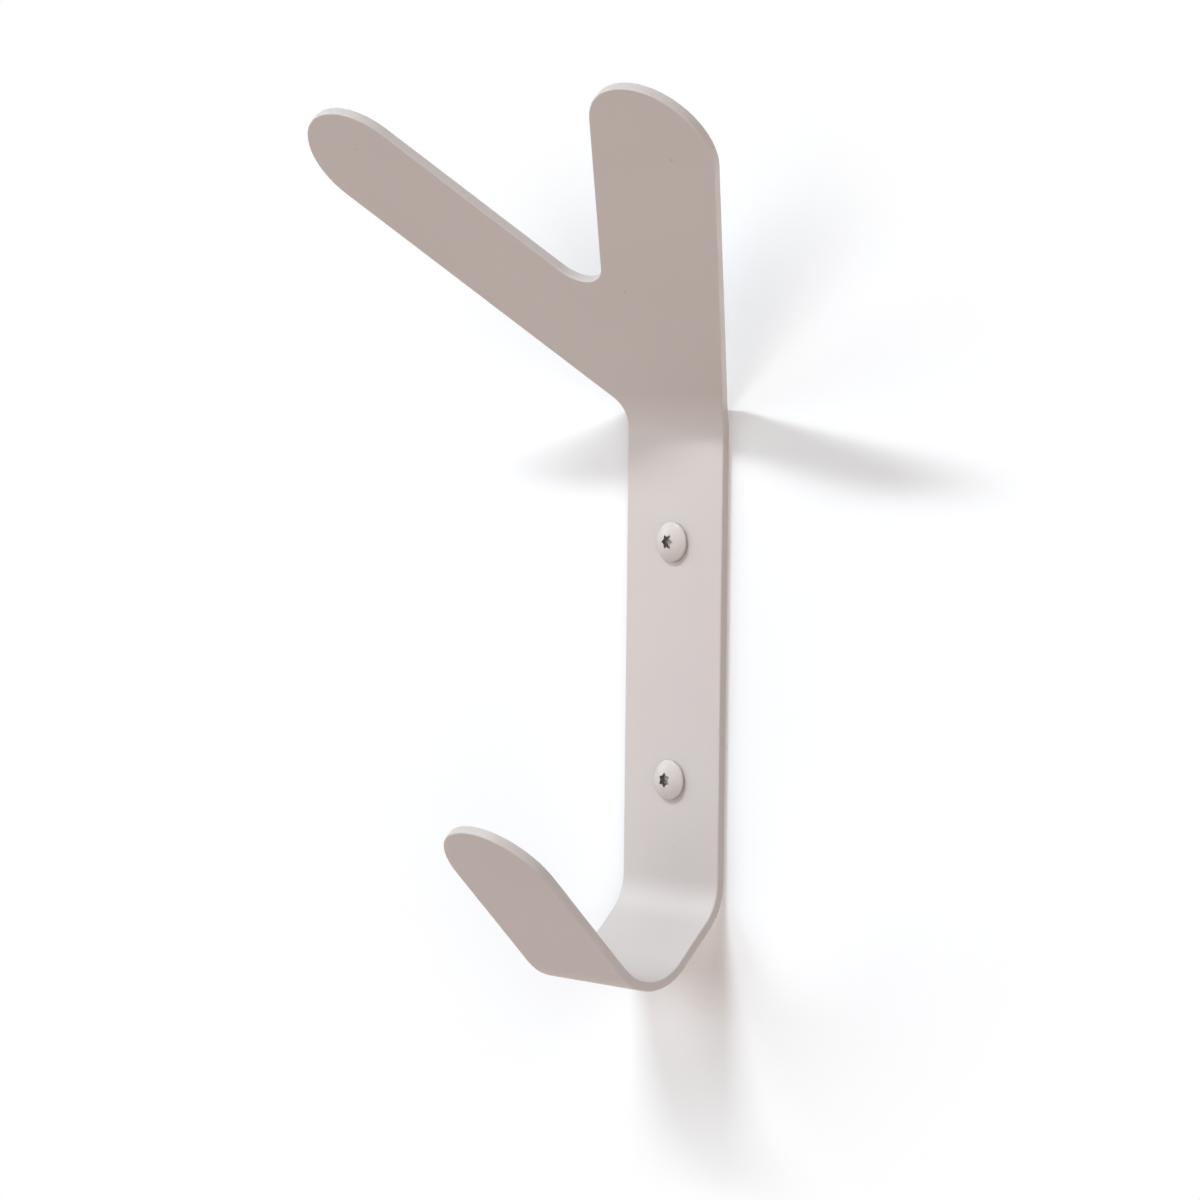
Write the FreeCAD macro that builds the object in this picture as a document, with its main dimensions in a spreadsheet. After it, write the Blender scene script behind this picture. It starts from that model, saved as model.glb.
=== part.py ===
import FreeCAD, Part
# A wall coat hook, folded from one Y-shaped blank of sheet steel, with the two screws that fix it.
# Millimetres. The wall is the plane y = 0, the hook stands out towards -Y, and +Z is up. The origin is on
# the back of the strap, halfway between the two screw holes.

import math
import os

from FreeCAD import Placement, Rotation, Vector
from Sketcher import Constraint

SIZES = {
    # the blank: a strap that forks into two branches of its own width, all ends full round
    "sheet_thickness": 2.5,
    "strap_width": 35,
    "branch_length": 98.5,      # from the fork, where the centre lines meet, to the round end's centre
    "branch_angle": 32.5,       # between each branch and the strap's centre line
    "fork_setback": 0.5,        # how far below the upper fold's end the fork lies
    "crotch_radius": 9,         # inner corner between the branches
    "shoulder_radius": 14,      # outer corner between strap and branch, which lies in the upper fold
    "edge_radius": 0.4,         # rounding of the cut edges
    # the folds, from the top
    "fold_radius": 13.5,        # inside radius of all three folds
    "lean_angle": 45,           # how far the forked plate leans out from the wall
    "strap_length": 117.5,      # flat stretch on the wall
    "slope_angle": 45,          # how far the lower fold turns the strap out
    "slope_length": 13.5,       # flat stretch between the two lower folds
    "hook_angle": 90,           # turn of the fold that makes the hook
    "tab_length": 36,           # flat stretch of the tab, up to the round end's centre
    # the two holes
    "hole_clearance": 0.5,      # on the diameter, round the screws' threads
    "screw_spacing": 62.5,
    "lower_hole_height": 26,    # above the strap's lower end
    # the screws
    "head_diameter": 10.5,
    "head_height": 2.7,
    "rim_height": 0.75,         # of the head's straight rim, above its seat
    "rim_radius": 0.5,          # between the rim and the dome
    "thread_diameter": 5,
    "thread_depth": 0.65,       # the neck is as thin as the thread's root
    "screw_length": 40,         # under the head
    "point_length": 6,
    "recess_points": 3.9,       # the six-lobe recess, across the lobes
    "recess_flats": 2.8,        # and across the hollows between them
    "lobe_radius": 0.32,
    "recess_depth": 1.8,
    "lower_screw_turn": 30,     # how far the lower screw stopped turned from the upper one
    # how far the cuts that trim the blank reach past it
    "trim_margin": 8,
}

doc = FreeCAD.newDocument("wall_coat_hook")
sheet = doc.addObject("Spreadsheet::Sheet", "sizes")
for row, (name, value) in enumerate(SIZES.items(), 1):
    sheet.set("A%d" % row, name)
    sheet.set("B%d" % row, str(value))
    sheet.setAlias("B%d" % row, name)
doc.recompute()

# Formulas of the sheet's sizes that more than one feature uses
STRAP_FOOT = "(-sizes.lower_hole_height - sizes.screw_spacing / 2)"
STRAP_TOP = "(%s + sizes.strap_length)" % STRAP_FOOT
HALF_WIDTH = "(sizes.strap_width / 2)"
MID_RADIUS = "(sizes.fold_radius + sizes.sheet_thickness / 2)"
FOLD_AXIS_Y = "(-sizes.sheet_thickness - sizes.fold_radius)"
HOOK_TURN = "(sizes.slope_angle + sizes.hook_angle)"
HOLE_DIAMETER = "(sizes.thread_diameter + sizes.hole_clearance)"
BRANCH_OUT = "(sizes.branch_length * sin(sizes.branch_angle * 1 deg))"
BRANCH_UP = "(sizes.branch_length * cos(sizes.branch_angle * 1 deg))"
BLANK_REACH = "(%s + %s + sizes.trim_margin)" % (BRANCH_OUT, HALF_WIDTH)
CUT_REACH = "(%s + sizes.trim_margin)" % BLANK_REACH
# Along the sheet's middle from the strap's upper end: the fold's end, and the shoulder's start and end
FOLD_END = "(%s * sizes.lean_angle * pi / 180)" % MID_RADIUS
HALF_BRANCH_TAN = "tan(sizes.branch_angle / 2 * 1 deg)"
SHOULDER_CORNER = "(%s - sizes.fork_setback - %s * %s)" % (FOLD_END, HALF_WIDTH, HALF_BRANCH_TAN)
SHOULDER_RUN = "(sizes.shoulder_radius * %s)" % HALF_BRANCH_TAN
SHOULDER_FROM = "(%s - %s)" % (SHOULDER_CORNER, SHOULDER_RUN)
SHOULDER_TO = "(%s + %s * cos(sizes.branch_angle * 1 deg))" % (SHOULDER_CORNER, SHOULDER_RUN)


def amount(formula):
    """What a formula of the sheet's sizes comes to."""
    return float(sheet.evalExpression(formula))


def size(name):
    """One size of the sheet."""
    return amount("sizes." + name)


def angle(name):
    """One angle of the sheet, in radians."""
    return math.radians(size(name))


def sketch_on(body, plane, name):
    """A sketch on one of the body's own origin planes."""
    sketch = body.newObject("Sketcher::SketchObject", name)
    support = [feature for feature in body.Origin.OriginFeatures if feature.Role == plane][0]
    sketch.AttachmentSupport = [(support, "")]
    sketch.MapMode = "FlatFace"
    sketch.Visibility = False
    return sketch


def line(sketch, start, end):
    """A line from start to end, whose ends are its points 1 and 2."""
    return sketch.addGeometry(Part.LineSegment(Vector(*start, 0), Vector(*end, 0)), False)


def arc(sketch, centre, radius, first, last):
    """An arc that runs anticlockwise from the angle first, its point 1, to the angle last, its point 2."""
    circle = Part.Circle(Vector(*centre, 0), Vector(0, 0, 1), radius)
    return sketch.addGeometry(Part.ArcOfCircle(circle, first, last), False)


def relate(sketch, kind, *where):
    """A relation with no size, such as Tangent or Vertical."""
    sketch.addConstraint(Constraint(kind, *where))


def bind(sketch, kind, where, formula):
    """A length that follows a formula of the sheet's sizes."""
    index = sketch.addConstraint(Constraint(kind, *where, amount(formula)))
    sketch.setExpression("Constraints[%d]" % index, formula)


def bind_angle(sketch, where, degrees):
    """A line's direction, anticlockwise from the sketch's own X, that follows a formula in degrees."""
    index = sketch.addConstraint(Constraint("Angle", where, math.radians(amount(degrees))))
    sketch.setExpression("Constraints[%d]" % index, "(%s) * 1 deg" % degrees)


def corner_chain(sketch, corners):
    """Lines from corner to corner, joined end to start."""
    lines = [line(sketch, start, end) for start, end in zip(corners, corners[1:])]
    for first, second in zip(lines, lines[1:]):
        relate(sketch, "Coincident", first, 2, second, 1)
    return lines


def lean_sketch(sketch, middle_y, middle_z, degrees):
    """Moves a sketch on the XZ plane to the middle of a leaning flat. The formulas middle_y and middle_z
    place its origin, and its own Y direction leans out from the wall by the formula degrees."""
    sketch.AttachmentOffset = Placement(Vector(0, 0, 0), Rotation(Vector(1, 0, 0), 1))
    sketch.setExpression("AttachmentOffset.Base.y", middle_z)
    sketch.setExpression("AttachmentOffset.Base.z", "-(%s)" % middle_y)
    sketch.setExpression("AttachmentOffset.Rotation.Angle", "(%s) * 1 deg" % degrees)


def trim(body, name, sketch, depth):
    """Cuts a sketch's region away, through everything or to half a depth on each side of the sketch."""
    before = body.Shape.Volume
    pocket = body.newObject("PartDesign::Pocket", name)
    pocket.Profile = sketch
    pocket.SideType = "Symmetric"
    if depth:
        pocket.setExpression("Length", depth)
    else:
        pocket.Type = "ThroughAll"
    doc.recompute()
    if body.Shape.Volume > before - 1:
        raise RuntimeError(name + " cuts nothing")


def side_profile(body):
    """The folded sheet from the side, on the YZ plane: a front and a back chain of lines and arcs, from the
    plate's top down to the tab's end, one thickness apart and closed by a cap at each end."""
    sketch = sketch_on(body, "YZ_Plane", "side_profile")
    radius = size("fold_radius")
    lean = -angle("lean_angle")
    slope = angle("slope_angle")
    hook = math.radians(amount(HOOK_TURN))
    plate_length = "(%s + %s + sizes.trim_margin - sizes.fork_setback)" % (BRANCH_UP, HALF_WIDTH)
    tab_length = "(sizes.tab_length + %s + sizes.trim_margin)" % HALF_WIDTH

    def along(point, turned, distance):
        """Further down the sheet by a distance, where it has turned out from the wall by an angle."""
        return (point[0] - math.sin(turned) * distance, point[1] - math.cos(turned) * distance)

    def off(axis, turned, distance):
        """Behind a fold's axis by a distance, where the sheet has turned by an angle."""
        return (axis[0] + math.cos(turned) * distance, axis[1] - math.sin(turned) * distance)

    upper_axis = (amount(FOLD_AXIS_Y), amount(STRAP_TOP))
    lower_axis = (amount(FOLD_AXIS_Y), amount(STRAP_FOOT))
    hook_axis = along(lower_axis, slope, size("slope_length"))
    chains = []
    for depth in (radius, radius + size("sheet_thickness")):
        plate_foot = off(upper_axis, lean, depth)
        tab_foot = off(hook_axis, hook, depth)
        chain = {
            "plate": line(sketch, along(plate_foot, lean, -amount(plate_length)), plate_foot),
            "upper": arc(sketch, upper_axis, depth, 0, -lean),
            "strap": line(sketch, off(upper_axis, 0, depth), off(lower_axis, 0, depth)),
            "lower": arc(sketch, lower_axis, depth, -slope, 0),
            "slope": line(sketch, off(lower_axis, slope, depth), off(hook_axis, slope, depth)),
            "hook": arc(sketch, hook_axis, depth, -hook, -slope),
            "tab": line(sketch, tab_foot, along(tab_foot, hook, amount(tab_length))),
        }
        for above, above_end, below, below_end in (
                ("plate", 2, "upper", 2), ("upper", 1, "strap", 1), ("strap", 2, "lower", 2),
                ("lower", 1, "slope", 1), ("slope", 2, "hook", 2), ("hook", 1, "tab", 1)):
            relate(sketch, "Tangent", chain[above], above_end, chain[below], below_end)
        chains.append(chain)
    front, back = chains
    for piece, end in (("plate", 1), ("tab", 2)):
        start = sketch.getPoint(front[piece], end)
        stop = sketch.getPoint(back[piece], end)
        cap = line(sketch, (start.x, start.y), (stop.x, stop.y))
        relate(sketch, "Coincident", cap, 1, front[piece], end)
        relate(sketch, "Coincident", cap, 2, back[piece], end)
        relate(sketch, "Perpendicular", cap, front[piece])
    for piece in ("plate", "strap", "slope", "tab"):
        relate(sketch, "Parallel", front[piece], back[piece])
    for fold in ("upper", "lower", "hook"):
        relate(sketch, "Coincident", front[fold], 3, back[fold], 3)
        bind(sketch, "Radius", (front[fold],), "sizes.fold_radius")
    relate(sketch, "Vertical", back["strap"])
    relate(sketch, "PointOnObject", back["strap"], 2, -2)
    bind(sketch, "DistanceX", (front["strap"], 2, back["strap"], 2), "sizes.sheet_thickness")
    bind(sketch, "DistanceY", (-1, 1, back["strap"], 2), STRAP_FOOT)
    bind(sketch, "Distance", (back["strap"],), "sizes.strap_length")
    bind(sketch, "Distance", (front["slope"],), "sizes.slope_length")
    bind(sketch, "Distance", (front["plate"],), plate_length)
    bind(sketch, "Distance", (front["tab"],), tab_length)
    bind_angle(sketch, front["plate"], "sizes.lean_angle - 90")
    bind_angle(sketch, front["slope"], "-sizes.slope_angle - 90")
    bind_angle(sketch, front["tab"], "-%s - 90" % HOOK_TURN)
    return sketch


def fold_blank(body):
    """The folded sheet before it is trimmed, as wide as the branches reach."""
    pad = body.newObject("PartDesign::Pad", "folded_blank")
    pad.Profile = side_profile(body)
    pad.SideType = "Symmetric"
    pad.setExpression("Length", "2 * " + BLANK_REACH)
    doc.recompute()


def trim_strap(body):
    """Cuts away what lies beside the strap, the slope and the tab, up to the shoulders or the fold."""
    sketch = sketch_on(body, "XZ_Plane", "beside_the_strap")
    low = "(%s - %s)" % (STRAP_FOOT, CUT_REACH)
    high = "(%s + min(0; %s))" % (STRAP_TOP, SHOULDER_FROM)
    for side in (1, -1):
        near = "(%d * %s)" % (side, HALF_WIDTH)
        far = "(%d * %s)" % (side, CUT_REACH)
        corners = [(amount(x), amount(z)) for x, z in ((near, low), (far, low), (far, high), (near, high))]
        edges = corner_chain(sketch, corners + corners[:1])
        relate(sketch, "Coincident", edges[-1], 2, edges[0], 1)
        for flat, upright in ((edges[0], edges[1]), (edges[2], edges[3])):
            relate(sketch, "Horizontal", flat)
            relate(sketch, "Vertical", upright)
        bind(sketch, "DistanceX", (-1, 1, edges[0], 1), near)
        bind(sketch, "DistanceX", (-1, 1, edges[0], 2), far)
        bind(sketch, "DistanceY", (-1, 1, edges[0], 1), low)
        bind(sketch, "DistanceY", (-1, 1, edges[2], 1), high)
    trim(body, "trim_strap", sketch, None)


def trim_plate(body):
    """Cuts the two branches out of the leaning plate. The sketch's origin is the fork, and its region is all
    that falls away: one outline round both branches, closed by a frame outside the plate."""
    sketch = sketch_on(body, "XZ_Plane", "around_the_branches")
    lean_sketch(
        sketch,
        "%s + %s * cos(sizes.lean_angle * 1 deg) + sizes.fork_setback * sin(sizes.lean_angle * 1 deg)"
        % (FOLD_AXIS_Y, MID_RADIUS),
        "%s + %s * sin(sizes.lean_angle * 1 deg) - sizes.fork_setback * cos(sizes.lean_angle * 1 deg)"
        % (STRAP_TOP, MID_RADIUS),
        "sizes.lean_angle")
    start = "(sizes.fork_setback + max(0; %s - %s))" % (SHOULDER_TO, FOLD_END)
    top = "(%s + %s + 2 * sizes.trim_margin)" % (BRANCH_UP, HALF_WIDTH)
    half = amount(HALF_WIDTH)
    turned = angle("branch_angle")
    sine = math.sin(turned)
    cosine = math.cos(turned)
    crotch_radius = size("crotch_radius")
    crotch_height = (half + crotch_radius) / sine
    foot = half * cosine + (amount(start) + half * sine) * sine / cosine
    centre = (amount(BRANCH_OUT), amount(BRANCH_UP))

    def mirrored(point):
        return (-point[0], point[1])

    outer_end = (centre[0] + half * cosine, centre[1] - half * sine)
    inner_end = (centre[0] - half * cosine, centre[1] + half * sine)
    crotch_end = (crotch_radius * cosine, crotch_height - crotch_radius * sine)
    right_outer = line(sketch, (foot, amount(start)), outer_end)
    right_tip = arc(sketch, centre, half, -turned, math.pi - turned)
    right_inner = line(sketch, inner_end, crotch_end)
    crotch = arc(sketch, (0, crotch_height), crotch_radius, turned - math.pi, -turned)
    left_inner = line(sketch, mirrored(crotch_end), mirrored(inner_end))
    left_tip = arc(sketch, mirrored(centre), half, turned, math.pi + turned)
    left_outer = line(sketch, mirrored(outer_end), (-foot, amount(start)))
    for first, first_end, second, second_end in (
            (right_outer, 2, right_tip, 1), (right_tip, 2, right_inner, 1), (right_inner, 2, crotch, 2),
            (crotch, 1, left_inner, 1), (left_inner, 2, left_tip, 1), (left_tip, 2, left_outer, 1)):
        relate(sketch, "Tangent", first, first_end, second, second_end)
    bind(sketch, "Radius", (right_tip,), HALF_WIDTH)
    bind(sketch, "Radius", (left_tip,), HALF_WIDTH)
    bind(sketch, "Radius", (crotch,), "sizes.crotch_radius")
    bind(sketch, "DistanceX", (-1, 1, right_tip, 3), BRANCH_OUT)
    bind(sketch, "DistanceX", (left_tip, 3, -1, 1), BRANCH_OUT)
    bind(sketch, "DistanceY", (-1, 1, right_tip, 3), BRANCH_UP)
    bind(sketch, "DistanceY", (-1, 1, left_tip, 3), BRANCH_UP)
    bind_angle(sketch, right_outer, "90 - sizes.branch_angle")
    bind_angle(sketch, right_inner, "-90 - sizes.branch_angle")
    bind_angle(sketch, left_inner, "90 + sizes.branch_angle")
    bind_angle(sketch, left_outer, "sizes.branch_angle - 90")
    wide = amount(CUT_REACH)
    frame = corner_chain(sketch, [(-foot, amount(start)), (-wide, amount(start)), (-wide, amount(top)),
                                  (wide, amount(top)), (wide, amount(start)), (foot, amount(start))])
    relate(sketch, "Coincident", left_outer, 2, frame[0], 1)
    relate(sketch, "Coincident", frame[-1], 2, right_outer, 1)
    for flat in (0, 2, 4):
        relate(sketch, "Horizontal", frame[flat])
    for upright in (1, 3):
        relate(sketch, "Vertical", frame[upright])
    bind(sketch, "DistanceY", (-1, 1, frame[0], 2), start)
    bind(sketch, "DistanceY", (-1, 1, frame[4], 1), start)
    bind(sketch, "DistanceY", (-1, 1, frame[2], 1), top)
    bind(sketch, "DistanceX", (frame[1], 1, -1, 1), CUT_REACH)
    bind(sketch, "DistanceX", (-1, 1, frame[3], 1), CUT_REACH)
    trim(body, "trim_plate", sketch, "4 * sizes.sheet_thickness")


def trim_tab(body):
    """Rounds the tab's end to a half circle of the strap's width. The sketch's origin is its centre."""
    sketch = sketch_on(body, "XZ_Plane", "around_the_tab_end")
    lean_sketch(
        sketch,
        "%s - sizes.slope_length * sin(sizes.slope_angle * 1 deg) + %s * cos(%s * 1 deg)"
        " - sizes.tab_length * sin(%s * 1 deg)" % (FOLD_AXIS_Y, MID_RADIUS, HOOK_TURN, HOOK_TURN),
        "%s - sizes.slope_length * cos(sizes.slope_angle * 1 deg) - %s * sin(%s * 1 deg)"
        " - sizes.tab_length * cos(%s * 1 deg)" % (STRAP_FOOT, MID_RADIUS, HOOK_TURN, HOOK_TURN),
        "180 - %s" % HOOK_TURN)
    half = amount(HALF_WIDTH)
    margin = size("trim_margin")
    far = "(%s + 2 * sizes.trim_margin)" % HALF_WIDTH
    end = arc(sketch, (0, 0), half, 0, math.pi)
    frame = corner_chain(sketch, [(half, 0), (half + margin, 0), (half + margin, amount(far)),
                                  (-half - margin, amount(far)), (-half - margin, 0), (-half, 0)])
    relate(sketch, "Coincident", end, 3, -1, 1)
    relate(sketch, "Coincident", end, 1, frame[0], 1)
    relate(sketch, "Coincident", end, 2, frame[4], 2)
    bind(sketch, "Radius", (end,), HALF_WIDTH)
    for point in (1, 2):
        relate(sketch, "PointOnObject", end, point, -1)
    for flat in (0, 2, 4):
        relate(sketch, "Horizontal", frame[flat])
    for upright in (1, 3):
        relate(sketch, "Vertical", frame[upright])
    bind(sketch, "Distance", (frame[0],), "sizes.trim_margin")
    bind(sketch, "Distance", (frame[4],), "sizes.trim_margin")
    bind(sketch, "Distance", (frame[1],), far)
    trim(body, "trim_tab", sketch, "4 * sizes.sheet_thickness")


def shoulder_waste():
    """What falls away beside the shoulders. Their corner lies in the upper fold, so its outline is wrapped
    round the fold's axis and stays square to the sheet, as on a blank that is cut flat and then folded."""
    axis_y = amount(FOLD_AXIS_Y)
    strap_top = amount(STRAP_TOP)
    fold_end = amount(FOLD_END)
    mid_radius = amount(MID_RADIUS)
    half = amount(HALF_WIDTH)
    radius = size("shoulder_radius")
    rise = amount(SHOULDER_FROM)
    leave = amount(SHOULDER_TO)
    grade = math.tan(angle("branch_angle"))
    spare = size("trim_margin") / 4

    def edge_at(run):
        """The blank's edge at a length along the sheet: its distance from the centre line, and its slant."""
        if run <= rise:
            return half, 0
        if run >= leave:
            bulge = radius - math.sqrt(radius ** 2 - (leave - rise) ** 2)
            return half + bulge + (run - leave) * grade, grade
        level = math.sqrt(radius ** 2 - (run - rise) ** 2)
        return half + radius - level, (run - rise) / level

    def folded(run, depth):
        """The edge's point and direction on the folded sheet, at a distance from the fold's axis."""
        across, slant = edge_at(run)
        turned = min(max(run, 0), fold_end) / mid_radius
        stretch = depth / mid_radius if 0 < run < fold_end else 1
        past = max(run - fold_end, 0) + min(run, 0)
        outward = Vector(0, math.cos(turned), math.sin(turned))
        upward = Vector(0, -math.sin(turned), math.cos(turned))
        point = Vector(across, axis_y, strap_top) + outward * depth + upward * past
        return point, Vector(slant, 0, 0) + upward * stretch

    pieces = []
    stretches = ((min(rise, 0), 0), (0, fold_end), (fold_end, max(leave, fold_end)))
    for first, last in stretches:
        if last - first < 0.01:
            continue
        runs = [first + (last - first) * step / 16 for step in range(17)]
        curves = []
        for depth in (size("fold_radius") - spare, size("fold_radius") + size("sheet_thickness") + spare):
            # A stretch's own ends belong to it, so they are read just inside it
            inside = [min(max(run, first + 1e-9), last - 1e-9) for run in runs]
            points, directions = zip(*[folded(run, depth) for run in inside])
            curve = Part.BSplineCurve()
            curve.interpolate(Points=list(points), Tangents=list(directions),
                              TangentFlags=[True] * len(runs), Parameters=runs)
            curves.append(curve.toShape())
        wall = Part.makeRuledSurface(*curves)
        piece = wall.extrude(Vector(amount(CUT_REACH), 0, 0))
        pieces += [piece, piece.mirror(Vector(0, 0, 0), Vector(1, 0, 0))]
    waste = doc.addObject("Part::Feature", "shoulder_waste")
    waste.Shape = Part.makeCompound(pieces)
    return waste


def drill_holes(body):
    """The two screw holes, on the strap's centre line."""
    before = body.Shape.Volume
    sketch = sketch_on(body, "XZ_Plane", "lower_hole_centre")
    height = "(-sizes.screw_spacing / 2)"
    circle = Part.Circle(Vector(0, amount(height), 0), Vector(0, 0, 1), amount(HOLE_DIAMETER) / 2)
    hole = sketch.addGeometry(circle, False)
    relate(sketch, "PointOnObject", hole, 3, -2)
    bind(sketch, "DistanceY", (-1, 1, hole, 3), height)
    bind(sketch, "Diameter", (hole,), HOLE_DIAMETER)
    doc.recompute()
    drilled = body.newObject("PartDesign::Hole", "lower_hole")
    drilled.Profile = sketch
    drilled.setExpression("Diameter", HOLE_DIAMETER)
    # Deep enough for the strap and too short for the tab, which can stand in front of it
    drilled.DepthType = "Dimension"
    drilled.setExpression("Depth", "2 * sizes.sheet_thickness")
    drilled.DrillPoint = "Flat"
    drilled.Reversed = True
    doc.recompute()
    pattern = body.newObject("PartDesign::LinearPattern", "both_holes")
    pattern.Originals = [drilled]
    upward = [feature for feature in body.Origin.OriginFeatures if feature.Role == "Z_Axis"][0]
    pattern.Direction = (upward, [""])
    pattern.setExpression("Length", "sizes.screw_spacing")
    pattern.Occurrences = 2
    body.Tip = pattern
    doc.recompute()
    punched = 2 * math.pi * (amount(HOLE_DIAMETER) / 2) ** 2 * size("sheet_thickness")
    if abs(before - body.Shape.Volume - punched) > punched / 100:
        raise RuntimeError("the holes do not go through")


def round_outline(body):
    """Rounds every cut edge of the outline, front and back."""
    drilled = body.Tip
    fillet = body.newObject("PartDesign::Fillet", "rounded_edges")
    fillet.Base = (drilled, cut_edges(body.Shape))
    fillet.setExpression("Radius", "min(sizes.edge_radius; 0.45 * sizes.sheet_thickness)")
    body.Tip = fillet
    doc.recompute()


def is_sheet_face(face):
    """Whether a face is the sheet's front or back, flat or folded: it runs level from side to side."""
    surface = face.Surface
    if isinstance(surface, Part.Plane):
        return abs(surface.Axis.x) < 1e-6
    return isinstance(surface, Part.Cylinder) and abs(surface.Axis.x) > 0.999


def is_hole_edge(edge):
    """Whether an edge is the rim of a screw hole, a circle about a line square to the wall."""
    if not isinstance(edge.Curve, Part.Circle):
        return False
    return edge.Closed and abs(2 * edge.Curve.Radius - amount(HOLE_DIAMETER)) < 1e-6


def cut_edges(shape):
    """The names of the edges where a front or back face meets the cut outline, without the holes."""
    names = []
    sheet_faces = [face for face in shape.Faces if is_sheet_face(face)]
    for index, edge in enumerate(shape.Edges, 1):
        owners = [face for face in sheet_faces if any(edge.isSame(other) for other in face.Edges)]
        if len(owners) == 1 and not is_hole_edge(edge):
            names.append("Edge%d" % index)
    return names


def make_hook():
    """The hook itself: folded, trimmed to its outline, drilled and rounded."""
    blank = doc.addObject("PartDesign::Body", "folded_sheet")
    fold_blank(blank)
    trim_strap(blank)
    trim_plate(blank)
    trim_tab(blank)
    shouldered = doc.addObject("Part::Cut", "shouldered_sheet")
    shouldered.Base = blank
    shouldered.Tool = shoulder_waste()
    doc.recompute()
    hook = doc.addObject("PartDesign::Body", "hook")
    hook.BaseFeature = shouldered
    doc.recompute()
    drill_holes(hook)
    round_outline(hook)
    return hook


def screw_profile(body):
    """Half the screw's section, on the YZ plane: its axis is Y, and the head's seat is at the origin."""
    sketch = sketch_on(body, "YZ_Plane", "screw_profile")
    rim_radius = "min(sizes.rim_radius; 0.45 * (sizes.head_height - sizes.rim_height))"
    head = size("head_diameter") / 2
    crown = -size("head_height")
    rim_end = -size("rim_height")
    corner = amount(rim_radius)
    cone = size("screw_length") - size("point_length")
    thread = size("thread_diameter") / 2
    neck = thread - size("thread_depth")
    neck_end = size("sheet_thickness")
    # The dome's circle has its centre on the axis, passes through the crown and touches the corner's
    rise = rim_end - crown
    dome = (rise ** 2 + (head - corner) ** 2 - corner ** 2) / (2 * (rise - corner))
    lean = math.atan2(head - corner, rim_end - crown - dome)
    curve = arc(sketch, (crown + dome, 0), dome, lean, math.pi)
    rounding = arc(sketch, (rim_end, head - corner), corner, math.pi / 2, lean)
    chain = corner_chain(sketch, [(crown, 0), (size("screw_length"), 0), (cone, thread), (neck_end, thread),
                                  (neck_end, neck), (0, neck), (0, head), (rim_end, head)])
    axis, point, shank, step, neck_side, seat, rim = chain
    relate(sketch, "Coincident", curve, 2, axis, 1)
    relate(sketch, "Tangent", curve, 1, rounding, 2)
    relate(sketch, "Tangent", rim, 2, rounding, 1)
    relate(sketch, "PointOnObject", curve, 3, -1)
    relate(sketch, "PointOnObject", axis, 1, -1)
    for level in (axis, shank, neck_side, rim):
        relate(sketch, "Horizontal", level)
    for upright in (step, seat):
        relate(sketch, "Vertical", upright)
    relate(sketch, "PointOnObject", seat, 1, -2)
    bind(sketch, "DistanceX", (axis, 1, -1, 1), "sizes.head_height")
    bind(sketch, "DistanceX", (-1, 1, axis, 2), "sizes.screw_length")
    bind(sketch, "DistanceX", (point, 2, point, 1), "sizes.point_length")
    bind(sketch, "DistanceY", (-1, 1, shank, 1), "sizes.thread_diameter / 2")
    # The neck is as long as the sheet is thick, so the thread starts at the wall
    bind(sketch, "DistanceX", (-1, 1, step, 1), "sizes.sheet_thickness")
    bind(sketch, "DistanceY", (-1, 1, neck_side, 1), "sizes.thread_diameter / 2 - sizes.thread_depth")
    bind(sketch, "DistanceY", (-1, 1, rim, 1), "sizes.head_diameter / 2")
    bind(sketch, "DistanceX", (rim, 2, rim, 1), "sizes.rim_height")
    bind(sketch, "Radius", (rounding,), rim_radius)
    return sketch


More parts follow.
